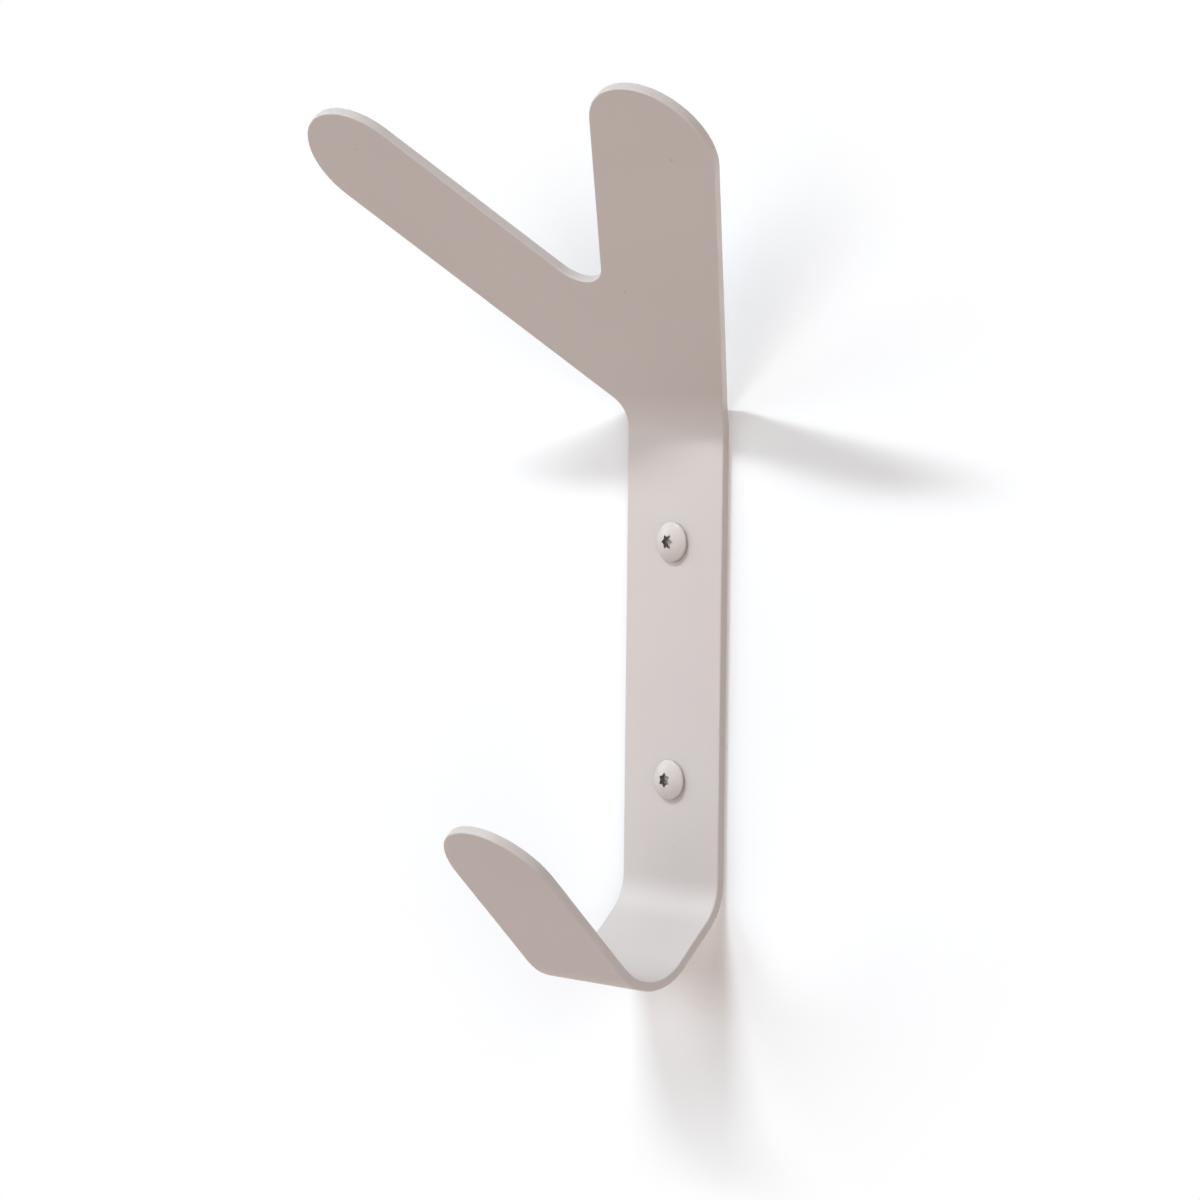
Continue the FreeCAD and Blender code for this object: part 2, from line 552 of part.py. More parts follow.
def sink_recess(body):
    """The six-lobe recess: one lobe, a sixth of the whole, cut into the crown and repeated round the axis."""
    sketch = sketch_on(body, "XZ_Plane", "one_lobe")
    sketch.setExpression("AttachmentOffset.Base.z", "sizes.head_height")
    hollow = size("recess_flats") / 2
    lobe = size("lobe_radius")
    reach = size("recess_points") / 2 - lobe
    sixth = math.pi / 6
    # The hollow's radius makes its arc touch the lobe's and stand square to the line between two lobes
    flank = ((reach ** 2 + hollow ** 2 - 2 * reach * hollow * math.cos(sixth) - lobe ** 2)
             / (2 * (reach * math.cos(sixth) + lobe - hollow)))
    flank_x = (hollow + flank) * math.cos(sixth)
    flank_y = (hollow + flank) * math.sin(sixth)
    touch = math.atan2(flank_y, flank_x - reach)
    tip = arc(sketch, (reach, 0), lobe, -touch, touch)
    upper = arc(sketch, (flank_x, flank_y), flank, sixth - math.pi, touch - math.pi)
    lower = arc(sketch, (flank_x, -flank_y), flank, math.pi - touch, math.pi - sixth)
    upper_side = line(sketch, (0, 0), (hollow * math.cos(sixth), hollow * math.sin(sixth)))
    lower_side = line(sketch, (0, 0), (hollow * math.cos(sixth), -hollow * math.sin(sixth)))
    relate(sketch, "Tangent", tip, 2, upper, 2)
    relate(sketch, "Tangent", tip, 1, lower, 1)
    for side, curve, end in ((upper_side, upper, 1), (lower_side, lower, 2)):
        relate(sketch, "Coincident", side, 1, -1, 1)
        relate(sketch, "Coincident", side, 2, curve, end)
        relate(sketch, "PointOnObject", curve, 3, side)
        bind(sketch, "Distance", (side,), "sizes.recess_flats / 2")
    bind_angle(sketch, upper_side, "30")
    bind_angle(sketch, lower_side, "-30")
    relate(sketch, "PointOnObject", tip, 3, -1)
    bind(sketch, "DistanceX", (-1, 1, tip, 3), "sizes.recess_points / 2 - sizes.lobe_radius")
    bind(sketch, "Radius", (tip,), "sizes.lobe_radius")
    before = body.Shape.Volume
    pocket = body.newObject("PartDesign::Pocket", "lobe")
    pocket.Profile = sketch
    pocket.setExpression("Length", "sizes.recess_depth")
    doc.recompute()
    pattern = body.newObject("PartDesign::PolarPattern", "six_lobes")
    pattern.Originals = [pocket]
    axis = [feature for feature in body.Origin.OriginFeatures if feature.Role == "Y_Axis"][0]
    pattern.Axis = (axis, [""])
    pattern.Angle = 360
    pattern.Occurrences = 6
    body.Tip = pattern
    doc.recompute()
    if body.Shape.Volume > before - 1:
        raise RuntimeError("the recess cuts nothing")


def make_screw():
    """A pan-head wood screw along Y, head to the front. Its thread is left plain, at its outer diameter."""
    screw = doc.addObject("PartDesign::Body", "screw")
    turned = screw.newObject("PartDesign::Revolution", "turned_screw")
    turned.Profile = screw_profile(screw)
    turned.ReferenceAxis = (turned.Profile[0], ["H_Axis"])
    turned.Angle = 360
    doc.recompute()
    sink_recess(screw)
    return screw


def seat_screws(screw):
    """Both screws in their holes, heads on the strap's front: two separate solids in one piece."""
    seated = []
    places = (("upper_screw", "sizes.screw_spacing / 2", "0 deg"),
              ("lower_screw", "-sizes.screw_spacing / 2", "sizes.lower_screw_turn * 1 deg"))
    for name, height, turned in places:
        link = doc.addObject("App::Link", name)
        link.LinkedObject = screw
        link.Placement = Placement(Vector(0, 0, 0), Rotation(Vector(0, 1, 0), 1))
        link.setExpression("Placement.Base.y", "-sizes.sheet_thickness")
        link.setExpression("Placement.Base.z", height)
        link.setExpression("Placement.Rotation.Angle", turned)
        seated.append(link)
    group = doc.addObject("Part::Compound", "wall_screws")
    group.Links = seated
    doc.recompute()
    return group


nodes = {"hook": make_hook(), "wall_screws": seat_screws(make_screw())}
doc.recompute()

for item in doc.Objects:
    if "Invalid" in item.State or "Error" in item.State:
        raise RuntimeError("%s did not build: %s" % (item.Label, item.State))
os.makedirs("parts", exist_ok=True)
for node, solids in (("hook", 1), ("wall_screws", 2)):
    item = nodes[node]
    item.Label = node
    shape = item.Shape
    if shape.isNull() or not shape.isValid() or len(shape.Solids) != solids:
        raise RuntimeError(node + " is not %d sound solids" % solids)
    shape.exportStep("parts/%s.step" % node)
    box = shape.BoundBox
    print("%s: %.1f cm3, x %.2f to %.2f, y %.2f to %.2f, z %.2f to %.2f" % (
        node, shape.Volume / 1000, box.XMin, box.XMax, box.YMin, box.YMax, box.ZMin, box.ZMax))
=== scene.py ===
# %% [markdown]
# # A wall coat hook
# One strip of sheet steel makes the whole hook. It is cut flat to the outline of a Y, folded three times and
# powder coated, and two pan-head screws hold its strap to a wall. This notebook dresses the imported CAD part:
# it keeps its place and size, and adds the finer shapes, the finishes, the wall and the studio light.
# All lengths in Blender are metres, so a length in millimetres is written as a number times MM.

import math

import bmesh
import bpy
import numpy as np
from mathutils import Matrix, Vector


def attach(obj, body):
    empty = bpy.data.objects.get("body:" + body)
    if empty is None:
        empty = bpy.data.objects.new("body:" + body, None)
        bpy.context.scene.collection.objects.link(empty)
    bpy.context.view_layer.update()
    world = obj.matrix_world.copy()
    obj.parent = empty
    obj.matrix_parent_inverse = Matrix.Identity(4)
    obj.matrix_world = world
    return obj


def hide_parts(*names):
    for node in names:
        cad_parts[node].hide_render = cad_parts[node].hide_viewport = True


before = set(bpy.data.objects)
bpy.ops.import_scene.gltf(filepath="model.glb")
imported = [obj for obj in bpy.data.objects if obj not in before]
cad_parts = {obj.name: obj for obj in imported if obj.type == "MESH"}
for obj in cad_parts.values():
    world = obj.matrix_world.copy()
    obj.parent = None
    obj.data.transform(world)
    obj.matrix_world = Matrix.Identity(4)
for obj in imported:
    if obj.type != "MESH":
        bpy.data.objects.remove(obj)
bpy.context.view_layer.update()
MM = 0.001

# %% [markdown]
# ## Colours and nodes
# A colour picked from a swatch is an sRGB value, and a shader works in linear light, so one function turns
# the first into the second. A second one adds a node, sets its inputs and links the rest. A value that is a
# socket of another node becomes a link, and anything else is set on the input itself.

# %% Helpers for every material
WHITE = (1, 1, 1, 1)


def linear(swatch):
    """An sRGB hex swatch as linear red, green, blue and full alpha: the sRGB curve undone per channel."""
    parts = [int(swatch[i:i + 2], 16) / 255 for i in (1, 3, 5)]
    return [p / 12.92 if p <= 0.04045 else ((p + 0.055) / 1.055) ** 2.4 for p in parts] + [1.0]


def add_node(tree, kind, inputs=(), **settings):
    """Adds a node of a kind, with its settings and its inputs by name or number."""
    node = tree.nodes.new(kind)
    for name, value in settings.items():
        setattr(node, name, value)
    for name, value in dict(inputs).items():
        if isinstance(value, bpy.types.NodeSocket):
            tree.links.new(value, node.inputs[name])
        else:
            node.inputs[name].default_value = value
    return node


def new_material(name):
    """An empty node material and its tree."""
    material = bpy.data.materials.new(name)
    material.use_nodes = True
    material.node_tree.nodes.clear()
    return material, material.node_tree


def millimetres(tree):
    """Object coordinates in millimetres."""
    place = add_node(tree, "ShaderNodeTexCoord")
    return add_node(tree, "ShaderNodeMapping", {"Vector": place.outputs["Object"],
                                                "Scale": (1 / MM, 1 / MM, 1 / MM)}).outputs["Vector"]


print("mid grey #808080 in linear light:", round(linear("#808080")[0], 3))

# %% [markdown]
# ## Powder coat
# Powder coat is dry polyester powder, charged, blown onto the steel and baked until it flows. It could be a
# plain rough plastic, but the baked film is never quite flat: it keeps a fine orange peel about a millimetre
# across, and here and there a grain that did not melt shows as a tiny dark speck. Both are drawn from
# Object coordinates, which are turned into millimetres first, so every scale below is one over a real size.

# %% The hook's finish, with its lengths in millimetres
COAT_SHADE = "#C7C1BE"
COAT_DEEP = "#C3BCB9"
COAT_DRIFT = 30
COAT_ROUGHNESS = 0.45
POLYMER_IOR = 1.5
PEEL_SIZE = 1.1
PEEL_HEIGHT = 0.02
PEEL_STRENGTH = 0.10
SPECK_SHADE = "#8F847D"
SPECK_SPACING = 13.0
SPECK_RADIUS = 0.22
SPECK_OUTER = 1.6 * SPECK_RADIUS
SPECK_COVER = 0.6


def powder_coat():
    """Matt polyester powder coat. To the eye: a soft, even sheen with no clear reflection."""
    material, tree = new_material("powder_coat_polyester_matt")
    place = millimetres(tree)
    drift = add_node(tree, "ShaderNodeTexNoise", {"Vector": place, "Scale": 1 / COAT_DRIFT, "Detail": 2})
    shade = add_node(tree, "ShaderNodeMix", {"Factor": drift.outputs["Fac"], "A": linear(COAT_SHADE),
                                             "B": linear(COAT_DEEP)}, data_type="RGBA")
    cells = add_node(tree, "ShaderNodeTexVoronoi", {"Vector": place, "Scale": 1 / SPECK_SPACING})
    speck = add_node(tree, "ShaderNodeMapRange", {
        "Value": cells.outputs["Distance"], "From Min": SPECK_RADIUS / SPECK_SPACING,
        "From Max": SPECK_OUTER / SPECK_SPACING, "To Min": SPECK_COVER, "To Max": 0.0})
    speckled = add_node(tree, "ShaderNodeMix", {"Factor": speck.outputs["Result"],
                                                "A": shade.outputs["Result"],
                                                "B": linear(SPECK_SHADE)}, data_type="RGBA")
    peel = add_node(tree, "ShaderNodeTexNoise", {"Vector": place, "Scale": 1 / PEEL_SIZE, "Detail": 2})
    relief = add_node(tree, "ShaderNodeBump", {"Height": peel.outputs["Fac"], "Strength": PEEL_STRENGTH,
                                               "Distance": PEEL_HEIGHT * MM})
    shader = add_node(tree, "ShaderNodeBsdfPrincipled", {
        "Base Color": speckled.outputs["Result"], "Roughness": COAT_ROUGHNESS, "IOR": POLYMER_IOR,
        "Normal": relief.outputs["Normal"]})
    add_node(tree, "ShaderNodeOutputMaterial", {"Surface": shader.outputs["BSDF"]})
    return material


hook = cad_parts["hook"]
hook.data.materials.clear()
hook.data.materials.append(powder_coat())

# %% [markdown]
# ## The screws' finishes
# The heads are painted to match the hook, in a liquid paint that dries smoother than powder. The driver's
# socket stays nearly bare, because paint is wiped or knocked off there, and the shank is zinc plated steel.
# Plain colours would do for so small a thing, but steel is never one even grey: a fine mottling drives both
# its shade and its roughness.

# %% Finishes of the screws, with their lengths in millimetres
PAINT_SHADE = "#CFC8C4"
PAINT_ROUGHNESS = 0.30
PAINT_SPECULAR = 0.16
PAINT_FLOW = 1.6
PAINT_HEIGHT = 0.02
PAINT_STRENGTH = 0.15
SOCKET_SHADE = "#A8A29E"
SOCKET_ROUGHNESS = 0.42
SOCKET_MOTTLE = 0.6
ZINC_SHADE = "#B9B6AE"
ZINC_ROUGHNESS = 0.35
ZINC_MOTTLE = 1.8
DARKEST_SHARE = 0.72
ROUGHNESS_DRIFT = 0.08


def screw_paint():
    """Satin enamel on steel. To the eye: the hook's own shade with a small soft highlight on the dome."""
    material, tree = new_material("satin_enamel_paint")
    place = millimetres(tree)
    flow = add_node(tree, "ShaderNodeTexNoise", {"Vector": place, "Scale": 1 / PAINT_FLOW, "Detail": 2})
    shade = add_node(tree, "ShaderNodeMix", {"Factor": flow.outputs["Fac"], "A": linear(PAINT_SHADE),
                                             "B": linear(COAT_SHADE)}, data_type="RGBA")
    relief = add_node(tree, "ShaderNodeBump", {"Height": flow.outputs["Fac"], "Strength": PAINT_STRENGTH,
                                               "Distance": PAINT_HEIGHT * MM})
    shader = add_node(tree, "ShaderNodeBsdfPrincipled", {
        "Base Color": shade.outputs["Result"], "Roughness": PAINT_ROUGHNESS, "IOR": POLYMER_IOR,
        "Specular IOR Level": PAINT_SPECULAR, "Normal": relief.outputs["Normal"]})
    add_node(tree, "ShaderNodeOutputMaterial", {"Surface": shader.outputs["BSDF"]})
    return material


def mottled_steel(name, swatch, roughness, mottle_size):
    """Cold-headed steel, worn or thinly plated. To the eye: a dull, slightly blotchy metal."""
    material, tree = new_material(name)
    place = millimetres(tree)
    mottle = add_node(tree, "ShaderNodeTexNoise", {"Vector": place, "Scale": 1 / mottle_size, "Detail": 3})
    darkest = [DARKEST_SHARE * part for part in linear(swatch)[:3]] + [1.0]
    shade = add_node(tree, "ShaderNodeMix", {"Factor": mottle.outputs["Fac"], "A": linear(swatch),
                                             "B": darkest}, data_type="RGBA")
    dull = add_node(tree, "ShaderNodeMapRange", {
        "Value": mottle.outputs["Fac"], "To Min": roughness - ROUGHNESS_DRIFT,
        "To Max": roughness + ROUGHNESS_DRIFT})
    shader = add_node(tree, "ShaderNodeBsdfPrincipled", {
        "Base Color": shade.outputs["Result"], "Roughness": dull.outputs["Result"], "Metallic": 1.0})
    add_node(tree, "ShaderNodeOutputMaterial", {"Surface": shader.outputs["BSDF"]})
    return material


SCREW_FINISHES = [screw_paint(),
                  mottled_steel("worn_steel_socket", SOCKET_SHADE, SOCKET_ROUGHNESS, SOCKET_MOTTLE),
                  mottled_steel("zinc_plated_shank", ZINC_SHADE, ZINC_ROUGHNESS, ZINC_MOTTLE)]
PAINTED, IN_SOCKET, PLATED = range(len(SCREW_FINISHES))
print("screw finishes:", [finish.name for finish in SCREW_FINISHES])

# %% [markdown]
# ## The screws' heads
# A screw is turned and pressed, so most of it is a surface of two parameters: the angle round the axis and
# the place along a profile. The six-lobe socket fits in too, because its outline is one radius for each
# angle. It could be cut with a Boolean, but then the dome's faces would be ragged round the lobes. Here the
# same grid runs from the socket's floor, up its wall, over the dome and under the head to the neck. A level
# is a place along the axis: 0 is the wall, and the head is on the negative side.

# %% Sizes of one head, in millimetres
TURN_STEPS = 144
HEAD_RADIUS = 5.25
HEAD_HEIGHT = 2.7
DOME_RINGS = 15
RIM_HEIGHT = 0.75
RIM_ROUND = 0.5
RIM_RINGS = 9
UNDERCUT_WIDTH = 0.65
UNDERCUT_HEIGHT = 0.6
UNDERCUT_CURVE = 1.4
UNDERCUT_RINGS = 8
SEAT = -2.5
SEAT_RINGS = (4.2, 3.2, 2.3, 2.0)
NECK_RADIUS = 1.85
NECK_CHAMFER = 0.15
NECK_RINGS = (-1.6, -0.8, 0.0)

# The dome's circle passes through the crown and touches the rim's rounding
rise = HEAD_HEIGHT - RIM_HEIGHT
DOME_RADIUS = (rise ** 2 + (HEAD_RADIUS - RIM_ROUND) ** 2 - RIM_ROUND ** 2) / (2 * (rise - RIM_ROUND))
DOME_END = (HEAD_RADIUS - RIM_ROUND) * DOME_RADIUS / (DOME_RADIUS - RIM_ROUND)
CROWN = SEAT - HEAD_HEIGHT
print("dome radius, mm:", round(DOME_RADIUS, 3), "and it ends", round(DOME_END, 3), "from the axis")

# %% The socket, in millimetres
LOBE_REACH = 1.95
LOBE_ROUND = 0.32
SOCKET_WAIST = 1.4
SOCKET_DEPTH = 1.8
SOCKET_DRAFT = 0.07
FLOOR_CONE = 0.22
FLOOR_SHARES = (0, 0.25, 0.5, 0.75, 0.9)
WALL_SHARES = (0, 0.04, 0.3, 0.6, 0.85, 1)
MOUTH_DEPTH = 0.05
MOUTH_WIDTH = 0.13
# The mouth's rounded edge: how far each ring lies out from the lobes, and how far below the dome
MOUTH_EDGE = ((0.02, 0.02), (0.06, 0.008))


def socket_radius(turn):
    """The six-lobe outline's radius for each angle. Each sixth is the tip's small circle, met by the larger
    circle of the hollow between two lobes: a ray from the axis is cut with both and the right one taken."""
    sixth = np.pi / 6
    reach = LOBE_REACH - LOBE_ROUND
    hollow = ((reach ** 2 + SOCKET_WAIST ** 2 - 2 * reach * SOCKET_WAIST * np.cos(sixth) - LOBE_ROUND ** 2)
              / (2 * (reach * np.cos(sixth) + LOBE_ROUND - SOCKET_WAIST)))
    away = SOCKET_WAIST + hollow
    touch = np.arctan2(away * np.sin(sixth), away * np.cos(sixth) - reach)
    meet = np.arctan2(LOBE_ROUND * np.sin(touch), reach + LOBE_ROUND * np.cos(touch))
    part = np.abs((turn + sixth) % (2 * sixth) - sixth)
    in_tip = np.minimum(part, meet)
    tip = reach * np.cos(in_tip) + np.sqrt(LOBE_ROUND ** 2 - (reach * np.sin(in_tip)) ** 2)
    in_hollow = sixth - np.maximum(part, meet)
    between = away * np.cos(in_hollow) - np.sqrt(hollow ** 2 - (away * np.sin(in_hollow)) ** 2)
    return np.where(part < meet, tip, between)


round_turn = np.arange(TURN_STEPS) * 2 * np.pi / TURN_STEPS
lobes = socket_radius(round_turn)
print("socket across its lobes and its hollows, mm:", round(2 * lobes.max(), 2), round(2 * lobes.min(), 2))

# %% [markdown]
# The rows of the head's grid follow one another as a lathe tool would go along the profile. One round
# profile could be spun instead, but it could not hold the lobes. So each row has its own radius and level
# for every angle: it can be round, follow the lobes, or run from one to the other, as the dome's rows do.


# %% The rows of the head's grid
def dome(radius):
    """The dome's level at a radius: the crown's level, plus the drop of a circle's arc that starts there."""
    return CROWN + DOME_RADIUS - np.sqrt(DOME_RADIUS ** 2 - radius ** 2)


def socket_rows():
    """The floor, a shallow cone from its pole out, then the wall. The lobes' radius grows up the wall by the
    draft, and the level runs straight from the floor to just below the dome."""
    floor = CROWN + SOCKET_DEPTH
    top = dome(lobes) + MOUTH_DEPTH
    rows = [(share * lobes, np.full(TURN_STEPS, floor + FLOOR_CONE * (1 - share)))
            for share in FLOOR_SHARES]
    rows += [((1 - SOCKET_DRAFT * (1 - share)) * lobes, floor + (top - floor) * share)
             for share in WALL_SHARES]
    return rows


def dome_rows():
    """The mouth's rounded edge, then the dome. Each row's radius is a mix of the lobes' outline and the
    full circle where the dome ends, and its level is the dome's at that radius."""
    rows = [(lobes + out, dome(lobes) + depth) for out, depth in MOUTH_EDGE]
    for share in np.linspace(0, 1, DOME_RINGS):
        radius = (lobes + MOUTH_WIDTH) * (1 - share) + DOME_END * share
        rows.append((radius, dome(radius)))
    return rows


def rim_rows():
    """Round rows: the rim's rounding is a circle's arc, its undercut a power curve, the seat is flat, and a
    small chamfer leads into the neck."""
    profile = []
    for bend in np.linspace(np.arcsin(DOME_END / DOME_RADIUS), np.pi / 2, RIM_RINGS)[1:]:
        profile.append((HEAD_RADIUS - RIM_ROUND + RIM_ROUND * np.sin(bend),
                        SEAT - RIM_HEIGHT - RIM_ROUND * np.cos(bend)))
    # Below its widest line the rim draws in to the seat, and that leaves a dark line round the head
    for share in np.linspace(0, 1, UNDERCUT_RINGS):
        profile.append((HEAD_RADIUS - UNDERCUT_WIDTH * share ** UNDERCUT_CURVE,
                        SEAT - UNDERCUT_HEIGHT * (1 - share)))
    profile += [(radius, SEAT) for radius in SEAT_RINGS]
    profile += [(NECK_RADIUS + NECK_CHAMFER * (1 - share), SEAT + NECK_CHAMFER * share)
                for share in (0.5, 1)]
    profile += [(NECK_RADIUS, level) for level in NECK_RINGS]
    return [(np.full(TURN_STEPS, radius), np.full(TURN_STEPS, level)) for radius, level in profile]


head_rows = socket_rows() + dome_rows() + rim_rows()
print("head's grid:", len(head_rows), "rows of", TURN_STEPS, "points")

# %% [markdown]
# ## The screws' threads
# The thread is the same idea with a twist. Its profile across one turn, a flat root and a sharp ridge, is
# carried along a helix: each step round the axis also moves it along by a share of the pitch, and each
# turn's last line is the next turn's first, so no seam is left. Near the wall the ridge grows out of the
# neck, and at the tip core and ridge both run out to a point. A Screw modifier could sweep the profile, but
# it would stay the same from end to end.

# %% Thread of one screw, in millimetres
PITCH = 2.5
THREAD_RADIUS = 2.5
RIDGE_FULL = 1.6
POINT_FROM = 31.5
POINT_CURVE = 0.8
TIP = 37.5
TURNS_PAST_TIP = 0.25
# Places across one turn as shares of the pitch, and the ridge's height there, from 0 to 1
ACROSS = np.array((0.0, 0.22, 0.385, 0.48, 0.52, 0.615, 0.78))
RIDGE = np.array((0.0, 0.0, 0.0, 1.0, 1.0, 0.0, 0.0))


def thread_grid():
    """Radius, level and angle of the thread's grid: rows step along the helix, columns cross one turn. The
    level is the pitch times the turns made, cut off at the wall and the tip, and the radius is the core's
    plus the ridge, both tapered at the point."""
    steps = np.arange(-TURN_STEPS, int((TIP / PITCH + TURNS_PAST_TIP) * TURN_STEPS) + 1)
    level = PITCH * (steps[:, None] / TURN_STEPS + ACROSS[None, :])
    level = np.clip(level, 0.0, TIP)
    taper = np.clip((TIP - level) / (TIP - POINT_FROM), 0, 1)
    grow = np.clip(level / RIDGE_FULL, 0, 1)
    grow = grow * grow * (3 - 2 * grow)
    core = NECK_RADIUS * taper ** POINT_CURVE
    radius = core + (THREAD_RADIUS * taper - core) * RIDGE[None, :] * grow * (taper > 0)
    radius = np.minimum(radius, THREAD_RADIUS * taper)
    turn = np.broadcast_to((steps % TURN_STEPS)[:, None] * 2 * np.pi / TURN_STEPS, radius.shape)
    return radius, level, turn


thread_radius, thread_level, thread_turn = thread_grid()
print("thread:", round(TIP / PITCH, 1), "turns, widest", round(2 * thread_radius.max(), 2), "mm")

# %% [markdown]
# ## Both screws
# The grids' points are joined to quads, and the two screws are copies of one, the lower one turned as it
# stopped in the photograph. They could be two objects, but in the CAD they share a node, so they share a
# mesh here too.


# %% Faces between the grids' points
def ring_faces(rows, columns):
    """Quads of a grid of closed rings: a point, the next one round, and the same two in the next row."""
    row = np.arange(rows - 1)[:, None] * columns
    here = row + np.arange(columns)[None, :]
    beside = row + (np.arange(columns)[None, :] + 1) % columns
    return np.stack((here, beside, beside + columns, here + columns), -1).reshape(-1, 4)


def strip_faces(steps, columns, first):
    """Quads of the helical strip: each row to the next, and its last column to the first one a turn on."""
    here = first + np.arange(steps - 1)[:, None] * columns + np.arange(columns - 1)[None, :]
    inside = np.stack((here, here + columns, here + columns + 1, here + 1), -1).reshape(-1, 4)
    last = np.arange(steps - 1 - TURN_STEPS)
    end = first + last * columns + columns - 1
    start = first + (last + TURN_STEPS) * columns
    seam = np.stack((end, end + columns, start + columns, start), -1)
    return np.concatenate((inside, seam))


screw_faces = np.concatenate((
    ring_faces(len(head_rows), TURN_STEPS),
    strip_faces(len(thread_radius), len(ACROSS), len(head_rows) * TURN_STEPS)))
print("quads of one screw's grids:", len(screw_faces))


# %% Points of each screw, in millimetres
SCREW_HEIGHT = 31.25
LOWER_TURN = math.radians(30)
SCREW_TURNS = {SCREW_HEIGHT: 0.0, -SCREW_HEIGHT: LOWER_TURN}


def screw_points(height, turned):
    """Points of one screw at a height on the strap, turned about its axis: radius times cosine and sine of
    the angle give x and z, and the level is y."""
    radius = np.concatenate([row[0] for row in head_rows] + [thread_radius.ravel()])
    level = np.concatenate([row[1] for row in head_rows] + [thread_level.ravel()])
    turn = np.concatenate((np.tile(round_turn, len(head_rows)), thread_turn.ravel())) + turned
    return np.stack((radius * np.cos(turn), level, radius * np.sin(turn) + height), -1)


both_screws = [screw_points(height, turned) for height, turned in SCREW_TURNS.items()]
print("points of each screw's grids:", [len(points) for points in both_screws])

# %% One clean mesh of both screws, with lengths in millimetres
WELD = 0.002
SLIVER = 0.001


def finished_mesh(name, points, faces, materials):
    """A mesh from points in millimetres: doubles merged, empty faces dropped and the rest turned outwards."""
    mesh = bpy.data.meshes.new(name)
    mesh.from_pydata(points * MM, [], faces.tolist())
    shape = bmesh.new()
    shape.from_mesh(mesh)
    bmesh.ops.remove_doubles(shape, verts=shape.verts, dist=WELD * MM)
    bmesh.ops.dissolve_degenerate(shape, edges=shape.edges, dist=SLIVER * MM)
    bmesh.ops.recalc_face_normals(shape, faces=shape.faces)
    loose = [point for point in shape.verts if not point.link_faces]
    bmesh.ops.delete(shape, geom=loose, context="VERTS")
    shape.to_mesh(mesh)
    print(name, len(mesh.vertices), "points", len(mesh.polygons), "faces,",
          sum(not edge.is_manifold for edge in shape.edges), "open edges")
    shape.free()
    for material in materials:
        mesh.materials.append(material)
    mesh.polygons.foreach_set("use_smooth", np.ones(len(mesh.polygons), bool))
    return mesh


all_faces = np.concatenate([screw_faces + index * len(points) for index, points in enumerate(both_screws)])
screw_mesh = finished_mesh("pan_head_screws", np.concatenate(both_screws), all_faces, SCREW_FINISHES)
screws = bpy.data.objects.new("pan_head_screws", screw_mesh)
bpy.context.scene.collection.objects.link(screws)
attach(screws, "root")
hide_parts("wall_screws")

# %% [markdown]
# Each face of the screws takes its finish from where its centre is: inside the socket's outline, on the
# painted head, or behind the head's seat. Faces could be picked by hand, but a rule still holds when a size
# changes, and it takes one comparison for the whole mesh.

# %% Finishes on the screws' faces, with lengths in millimetres
SOCKET_MARGIN = 0.005
SEAT_MARGIN = 0.01
centres = np.zeros(len(screw_mesh.polygons) * 3)
screw_mesh.polygons.foreach_get("center", centres)
centres = centres.reshape(-1, 3) / MM
finish = np.where(centres[:, 1] > SEAT + SEAT_MARGIN, PLATED, PAINTED)
for height, turned in SCREW_TURNS.items():
    out = np.hypot(centres[:, 0], centres[:, 2] - height)
    turn = np.arctan2(centres[:, 2] - height, centres[:, 0]) - turned
    inside = (out < socket_radius(turn) + SOCKET_MARGIN) & (centres[:, 1] < SEAT)
    finish = np.where(inside, IN_SOCKET, finish)
screw_mesh.polygons.foreach_set("material_index", finish.astype(np.int32))
print("faces painted, in the socket and plated:", np.bincount(finish))

# %% [markdown]
# ## The wall and the floor
# The hook hangs on a white wall. The wall could be a box, but a single face towards the room is enough: seen
# from behind it is clear, so the back of the hook can be looked at too. It takes light and shadow, and lets
# light from behind reach the hook. What it would throw back onto the hook is left to the room's light. Near
# the hook it is plain matt paint, with the shadows on it. Further off, what is seen of it runs over into
# pure white, so the shadows' far ends fade out as they do in the photograph.

# %% Paint of the wall and the floor, with the fade to white in millimetres from the hook
WALL_SHADE = "#F5F8FA"
FLOOR_SHADE = "#EFECE9"
WHITE_FROM = 100
WHITE_BY = 160


def looked_at(tree):
    """1 for a ray that looks straight, off a shiny surface or through a clear one, and 0 for one that
    carries light."""
    ray = add_node(tree, "ShaderNodeLightPath").outputs
    straight = add_node(tree, "ShaderNodeMath", {0: ray["Is Camera Ray"], 1: ray["Is Transmission Ray"]},
                        operation="MAXIMUM")
    return add_node(tree, "ShaderNodeMath", {0: straight.outputs["Value"], 1: ray["Is Glossy Ray"]},
                    operation="MAXIMUM").outputs["Value"]


